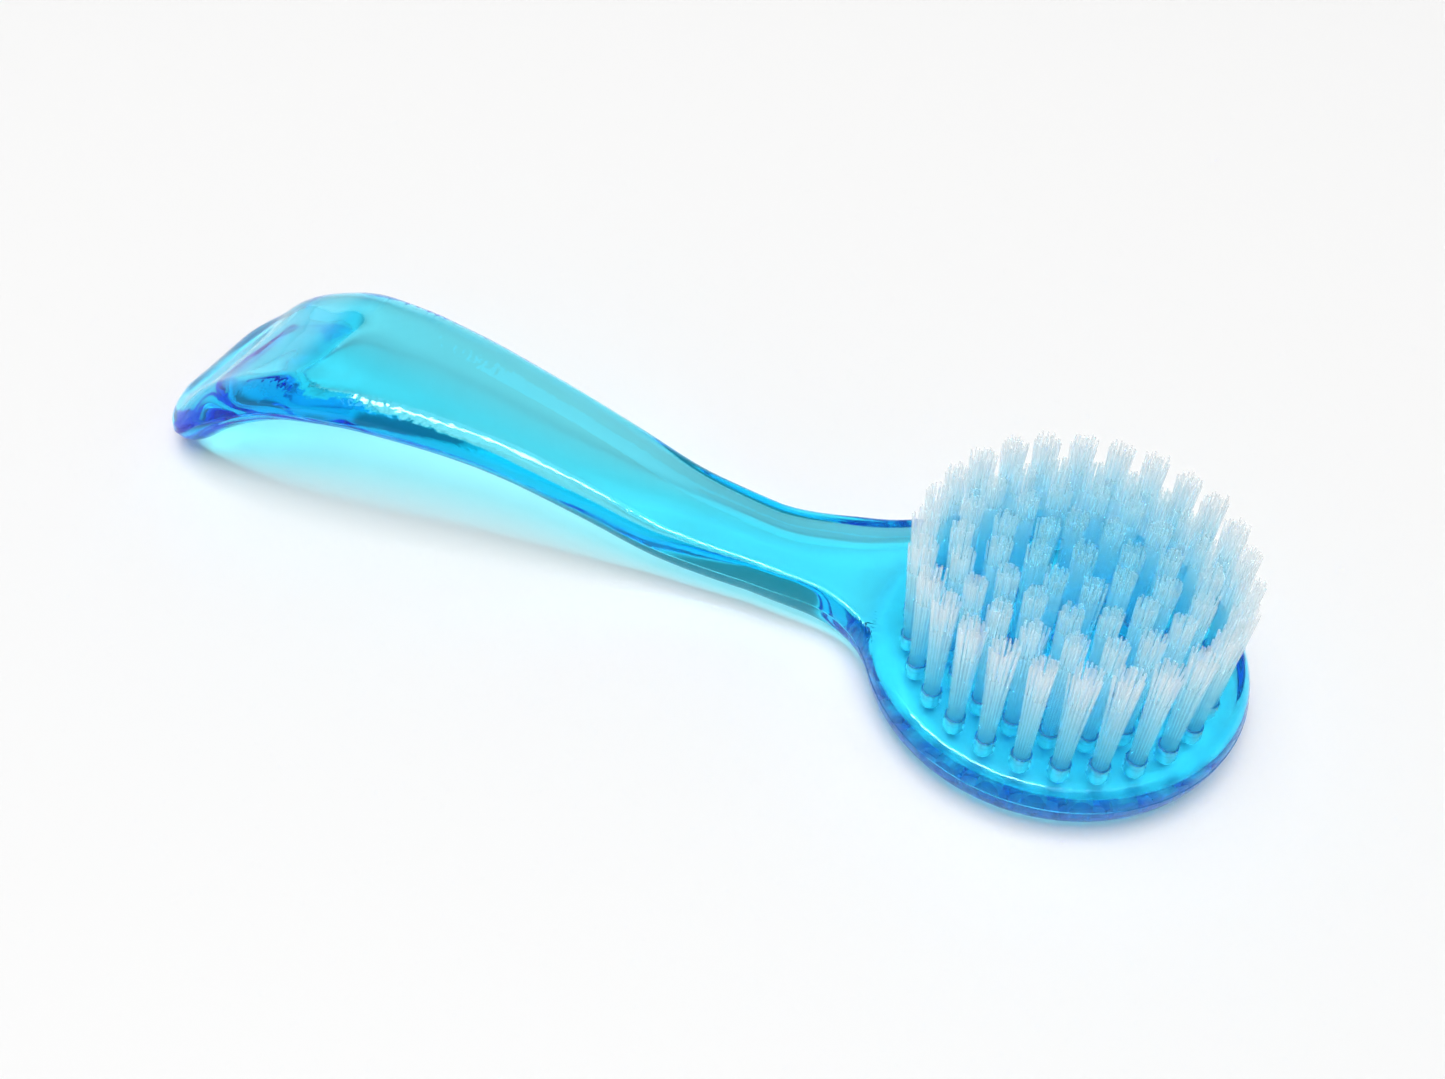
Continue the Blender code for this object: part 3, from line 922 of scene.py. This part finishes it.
def leg_height(wiring, size, sunk, leg, stretches):
    """A leg's height: round its fold, up to the mouth and on to its own ragged tip."""
    chance = wiring.chance(-1.0, 1.0, leg, size["Seed"] + TIP_SEED)
    half_rise = (chance * size["Raggedness"] + size["Tip Height"] - size["Mouth Height"]) * 0.5
    in_hole = size["Mouth Height"] - size["Fold Height"]
    dome = size["Filament Radius"] * TIP_DOME_SHARE
    height = size["Fold Height"] - sunk
    for length, stretch in zip((in_hole, half_rise, half_rise, dome), stretches):
        height = length * stretch + height
    return height


def anchor_tree():
    """A ring of anchors: flat plates with rounded corners that stand across the holes."""
    wiring = Wiring("anchor_ring")
    size = wiring.sizes(RING_INPUTS + ANCHOR_INPUTS)
    half = size["Anchor Thickness"] * 0.5
    line = wiring.node("CurvePrimitiveLine", {"Start": wiring.point(z=-half), "End": wiring.point(z=half)})
    profile = wiring.node("CurvePrimitiveQuadrilateral", {
        "Width": size["Anchor Length"], "Height": size["Anchor Depth"],
    })
    rounded = wiring.node("FilletCurve", {
        "Curve": profile, "Radius": size["Anchor Depth"] * ANCHOR_CORNER_SHARE, "Count": 1,
    }, mode="POLY")
    plate = wiring.node("CurveToMesh", {"Curve": line, "Profile Curve": rounded, "Fill Caps": True})
    upright = wiring.node("Transform", {
        "Geometry": plate, "Translation": wiring.point(z=size["Anchor Depth"] * 0.5 + size["Fold Height"]),
        "Rotation": (0.5 * math.pi, 0.0, 0.0),
    })
    return wiring.done(wiring.spots(ring_points(wiring, size), upright), size["Material"])


def lip_tree():
    """A ring of raised lips, which the drill leaves round the mouths of its holes."""
    wiring = Wiring("lip_ring")
    size = wiring.sizes(RING_INPUTS + LIP_INPUTS)
    path, profile = (
        wiring.node("CurvePrimitiveCircle", {"Resolution": sides, "Radius": size[radius]}, mode="RADIUS")
        for sides, radius in ((HOLE_SIDES, "Mouth Radius"), (LIP_SIDES, "Lip Radius"))
    )
    lip = wiring.node("CurveToMesh", {"Curve": path, "Profile Curve": profile})
    lifted = wiring.node("Transform", {"Geometry": lip, "Translation": wiring.point(z=size["Mouth Height"])})
    return wiring.done(wiring.spots(ring_points(wiring, size), lifted), size["Material"])


def grow_ring(kind, index, tree, values):
    """Run a tree for one ring or the middle, and keep its result as a plain mesh on the root body."""
    item = add_object(f"{kind}_{PLACE_NAMES[index]}", bmesh.new())
    modifier = item.modifiers.new(tree.name, "NODES")
    modifier.node_group = tree
    values = {**ring_values(index), **values}
    for socket in tree.interface.items_tree:
        if socket.in_out == "INPUT" and socket.name in values:
            modifier[socket.identifier] = values[socket.name]
    bake_modifiers(item)
    if not item.data.polygons:
        raise RuntimeError(f"{item.name} came out empty")
    for name in HELPER_ATTRIBUTES:
        if name in item.data.attributes:
            item.data.attributes.remove(item.data.attributes[name])
    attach(item, ROOT_BODY)
    return item


def ring_values(index):
    """The inputs that place one ring, or the single tuft in the middle."""
    values = {"Tuft Count": 1, "Ring Radius": 0.0, "First Angle": 0.0, "Field Shift": TUFT_FIELD_SHIFT,
              "Seed": FIRST_SEED + RING_SEED_STEP * index}
    if index < len(RING_COUNTS):
        values.update({"Tuft Count": RING_COUNTS[index], "Ring Radius": ring_radius(index),
                       "First Angle": ring_first_angle(index)})
    return values


def ring_nodes(index):
    """The CAD nodes that one ring's filaments stand for."""
    if index == len(RING_COUNTS):
        return ["tuft_middle"]
    if RING_NAMES[index] == JOINED_RING:
        return [f"tuft_ring_{JOINED_RING}"]
    return [f"tuft_{RING_NAMES[index]}_{k + 1:02d}" for k in range(RING_COUNTS[index])]


def length_setting(name, description, default, least=0.0):
    """A length that a user can change."""
    return bpy.props.FloatProperty(
        name=name, description=description, default=default, min=least, subtype="DISTANCE")


def amount_setting(name, description, default, unit="NONE"):
    """A number or a power, from 0 up."""
    return bpy.props.FloatProperty(name=name, description=description, default=default, min=0.0, unit=unit)


def share_setting(name, description, default):
    """A share from 0 to 1."""
    return bpy.props.FloatProperty(
        name=name, description=description, default=default, min=0.0, max=1.0, subtype="FACTOR")


def colour_setting(name, description, default):
    return bpy.props.FloatVectorProperty(
        name=name, description=description, default=default, min=0.0, max=1.0, subtype="COLOR")


class BodySettings(bpy.types.PropertyGroup):
    hole_diameter: length_setting("Hole Diameter", "Width of each tuft's hole", 1.86 * MM)
    notch: length_setting("Anchor Nick", "How far an anchor's ends nick the hole's mouth", 0.16 * MM)
    lip: length_setting("Mouth Lip", "How far the drill raised the plastic round each mouth", 0.08 * MM)
    ridge: length_setting("Parting Ridge", "How far the moulding's parting line stands out", 0.06 * MM)
    wave_length: length_setting(
        "Wave Length", "Spacing of the faint waves that moulding leaves in the surface", 4.0 * MM, 0.1 * MM)
    wave_depth: length_setting("Wave Depth", "Depth of those waves", 0.02 * MM)
    ripple_length: length_setting(
        "Ripple Length", "Spacing of the fine ripples along the near shoulder", 0.9 * MM, 0.1 * MM)
    ripple_depth: length_setting("Ripple Depth", "Depth of those ripples", 0.08 * MM)
    frost: share_setting("Drilled Frost", "How milky the drilled walls are at their holes' mouths", 0.75)
    gloss: share_setting("Surface Roughness", "Roughness of the moulded surface", 0.03)
    tint: colour_setting("Tint", "Colour of the light that passes the plastic", (0.0, 0.912, 0.995))
    tint_density: amount_setting("Tint Density", "How strongly each metre of plastic tints", 275.0)


class BristleSettings(bpy.types.PropertyGroup):
    filament_diameter: length_setting(
        "Filament Diameter", "Thickness of one nylon filament", 0.25 * MM, 0.01 * MM)
    bundle_diameter: length_setting(
        "Bundle Diameter", "Width of a tuft in its hole, to the outer filaments' middles",
        1.56 * MM, 0.1 * MM)
    flare: amount_setting("Flare", "How much wider than its hole a tuft's top is", 0.68)
    fold_height: length_setting(
        "Fold Height", "Height of the anchors' lower edge, where the filaments fold", 2.95 * MM)
    tip_height: length_setting("Tip Height", "Mean height of the filaments' tips", 19.72 * MM)
    ragged: length_setting("Raggedness", "How far tips stand above or below their mean height", 0.3 * MM)
    bend: length_setting("Bend", "How far filaments wander sideways at their tips", 0.12 * MM)
    stray: share_setting("Stray Share", "Share of filaments that splay out of their tuft", 0.06)
    clearness: share_setting("Clearness", "Share of light that passes one wall of a filament", 0.76)
    tip_cloud: share_setting("Tip Cloud", "How much milkier the ground tips are", 0.05)
    colour: colour_setting("Nylon Colour", "Colour of the filaments", (0.95, 0.99, 1.0))
    # Painted light: the colour painted on the filaments' feet for the head's cyan light
    painted_glow: colour_setting(
        "Glow Colour", "Colour that the head's light gives the filaments' feet", (0.12, 0.87, 1.0))


class AnchorSettings(bpy.types.PropertyGroup):
    length: length_setting(
        "Anchor Length", "Length of each anchor, which bites into its hole's wall", 2.3 * MM)
    thickness: length_setting("Anchor Thickness", "Thickness of the anchor's flat wire", 0.28 * MM)
    depth: length_setting("Anchor Depth", "Height of the anchor's flat wire", 1.3 * MM)


class StageSettings(bpy.types.PropertyGroup):
    floor_colour: colour_setting("Floor Colour", "Colour of the table", (0.92, 0.918, 0.915))
    softbox_power: amount_setting("Softbox Power", "Power of the wide soft light overhead", 21.5, "POWER")
    bar_power: amount_setting(
        "Bar Power", "Power of the narrow light bar that draws the highlights", 11.5, "POWER")
    fill: amount_setting("Fill", "Strength of the even light from all round", 0.34)


class BrushSettings(bpy.types.PropertyGroup):
    body: bpy.props.PointerProperty(type=BodySettings)
    bristles: bpy.props.PointerProperty(type=BristleSettings)
    anchors: bpy.props.PointerProperty(type=AnchorSettings)
    stage: bpy.props.PointerProperty(type=StageSettings)


def cut_holes(item, sizes):
    """Cut the drilled holes out of the moulding."""
    cutter = add_object("hole_cutter", hole_cutter_mesh(0.5 * sizes.hole_diameter, sizes.notch))
    boolean = item.modifiers.new("holes", "BOOLEAN")
    boolean.operation = "DIFFERENCE"
    boolean.solver = "EXACT"
    boolean.object = cutter
    bake_modifiers(item)
    bpy.data.objects.remove(cutter, do_unlink=True)
    if len(item.data.polygons) < LEAST_BODY_FACES:
        raise RuntimeError("the holes could not be cut in the body")


def add_mouth_lips(sizes):
    """Lay the raised lips round the mouths of the holes."""
    tree = lip_tree()
    values = {
        "Material": drilled_lip(), "Lip Radius": sizes.lip,
        "Mouth Radius": 0.5 * sizes.hole_diameter + sizes.lip, "Mouth Height": HEAD_THICKNESS,
    }
    for index in range(len(PLACE_NAMES)):
        item = grow_ring("mouth_lips", index, tree, values)
    bpy.data.node_groups.remove(tree)


class NAILBRUSH_OT_body(bpy.types.Operator):
    """Make the clear head and handle, with its drilled holes"""
    bl_idname = "nail_brush.body"
    bl_label = "Clear Body"

    def execute(self, context):
        sizes = context.scene.nail_brush.body
        item = add_object("brush_body", body_mesh(sizes.ridge), clear_plastic(sizes))
        cut_holes(item, sizes)
        item.data.shade_smooth()
        item.data.set_sharp_from_angle(angle=SHARP_ANGLE)
        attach(item, ROOT_BODY)
        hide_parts("body")
        add_mouth_lips(sizes)
        return {"FINISHED"}


class NAILBRUSH_OT_bristles(bpy.types.Operator):
    """Make the rings of nylon tufts, each filament folded under its anchor"""
    bl_idname = "nail_brush.bristles"
    bl_label = "Nylon Tufts"

    def execute(self, context):
        sizes = context.scene.nail_brush.bristles
        tree = filament_tree()
        values = {
            "Material": white_nylon(sizes),
            "Bundle Radius": 0.5 * sizes.bundle_diameter, "Filament Radius": 0.5 * sizes.filament_diameter,
            "Fold Height": sizes.fold_height, "Mouth Height": HEAD_THICKNESS, "Tip Height": sizes.tip_height,
            "Raggedness": sizes.ragged, "Bend": sizes.bend, "Stray Share": sizes.stray,
        }
        for index in range(len(PLACE_NAMES)):
            values["Flare"] = sizes.flare * (INNER_FLARE_SHARE if index else 1.0)
            item = grow_ring("bristles", index, tree, values)
            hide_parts(*ring_nodes(index))
        bpy.data.node_groups.remove(tree)
        return {"FINISHED"}


class NAILBRUSH_OT_anchors(bpy.types.Operator):
    """Make the flat wire anchors that hold the tufts in their holes"""
    bl_idname = "nail_brush.anchors"
    bl_label = "Anchors"

    def execute(self, context):
        settings = context.scene.nail_brush
        sizes = settings.anchors
        tree = anchor_tree()
        values = {
            "Material": anchor_metal(), "Anchor Length": sizes.length, "Anchor Thickness": sizes.thickness,
            "Anchor Depth": sizes.depth, "Fold Height": settings.bristles.fold_height,
        }
        for index in range(len(PLACE_NAMES)):
            item = grow_ring("anchors", index, tree, values)
            item.data.set_sharp_from_angle(angle=SHARP_ANGLE)
        bpy.data.node_groups.remove(tree)
        return {"FINISHED"}


def add_floor(colour):
    """A wide disc just under the brush."""
    bm = bmesh.new()
    bmesh.ops.create_circle(bm, cap_ends=True, segments=TABLE_SIDES, radius=TABLE_RADIUS)
    for vert in bm.verts:
        vert.co.z = -TABLE_GAP
    add_object("table", bm, floor_material(colour))


def add_softbox(name, place, size, power):
    """A rectangular light that faces down at the brush."""
    light = bpy.data.lights.new(name, "AREA")
    light.shape = "RECTANGLE"
    light.size, light.size_y = size
    light.energy = power
    item = linked(name, light)
    item.location = place
    return item


def light_world(strength):
    """Even white light from above, rising to full white at the horizon."""
    world = bpy.data.worlds.new("studio")
    bpy.context.scene.world = world
    world.use_nodes = True
    sky = NodeTree(world.node_tree)
    height = sky.parts(sky.node("ShaderNodeTexCoord"))[2]
    level = sky.mapped(height, HORIZON_GLOW, (1.0, strength), interpolation_type="SMOOTHSTEP")
    background = sky.tree.nodes["Background"]
    sky.feed(background.inputs["Color"], solid(WHITE))
    sky.feed(background.inputs["Strength"], level)


def allow_clear_paths(scene):
    """Let light pass through many filaments and along the clear handle."""
    cycles = scene.cycles
    for kind in ("max", "diffuse", "glossy", "transmission"):
        setattr(cycles, f"{kind}_bounces", CLEAR_BOUNCES)
    cycles.transparent_max_bounces = FILAMENT_WALLS
    cycles.sample_clamp_indirect = 0.0
    cycles.blur_glossy = 0.0


def add_camera():
    """The photograph's camera."""
    camera = bpy.data.cameras.new("photo_camera")
    camera.sensor_width = SENSOR_WIDTH
    camera.sensor_fit = "HORIZONTAL"
    camera.lens = CAMERA_LENS
    camera.clip_start, camera.clip_end = CAMERA_CLIP
    item = linked("photo_camera", camera)
    item.location = CAMERA_PLACE
    item.rotation_euler = (CAMERA_TILT, 0.0, CAMERA_TURN)
    bpy.context.scene.camera = item


class NAILBRUSH_OT_stage(bpy.types.Operator):
    """Make the pale table, the soft light and the camera"""
    bl_idname = "nail_brush.stage"
    bl_label = "Stage"

    def execute(self, context):
        sizes = context.scene.nail_brush.stage
        context.scene.view_settings.view_transform = "Standard"
        allow_clear_paths(context.scene)
        add_floor(sizes.floor_colour)
        add_softbox("softbox", SOFTBOX_PLACE, SOFTBOX_SIZE, sizes.softbox_power)
        bar = add_softbox("light_bar", BAR_PLACE, BAR_SIZE, sizes.bar_power)
        bar.visible_diffuse = False
        bar.visible_transmission = False
        light_world(sizes.fill)
        add_camera()
        return {"FINISHED"}


class NAILBRUSH_PT_panel(bpy.types.Panel):
    """Sidebar panel that lists the brush's pieces and their sizes"""
    bl_idname = "NAILBRUSH_PT_panel"
    bl_label = "Nail Dust Brush"
    bl_space_type = "VIEW_3D"
    bl_region_type = "UI"
    bl_category = "Nail Brush"

    def draw(self, context):
        settings = context.scene.nail_brush
        for name in ("stage", "body", "bristles", "anchors"):
            group = getattr(settings, name)
            box = self.layout.box()
            for key in group.__annotations__:
                box.prop(group, key)
            box.operator(f"nail_brush.{name}")


CLASSES = (
    BodySettings, BristleSettings, AnchorSettings, StageSettings, BrushSettings,
    NAILBRUSH_OT_stage, NAILBRUSH_OT_body, NAILBRUSH_OT_bristles, NAILBRUSH_OT_anchors,
    NAILBRUSH_PT_panel,
)


def register():
    for item in CLASSES:
        bpy.utils.register_class(item)
    bpy.types.Scene.nail_brush = bpy.props.PointerProperty(type=BrushSettings)


def unregister():
    del bpy.types.Scene.nail_brush
    for item in reversed(CLASSES):
        bpy.utils.unregister_class(item)


def main():
    register()
    bpy.ops.nail_brush.stage()
    bpy.ops.nail_brush.body()
    bpy.ops.nail_brush.bristles()
    bpy.ops.nail_brush.anchors()


if __name__ == "__main__":
    main()
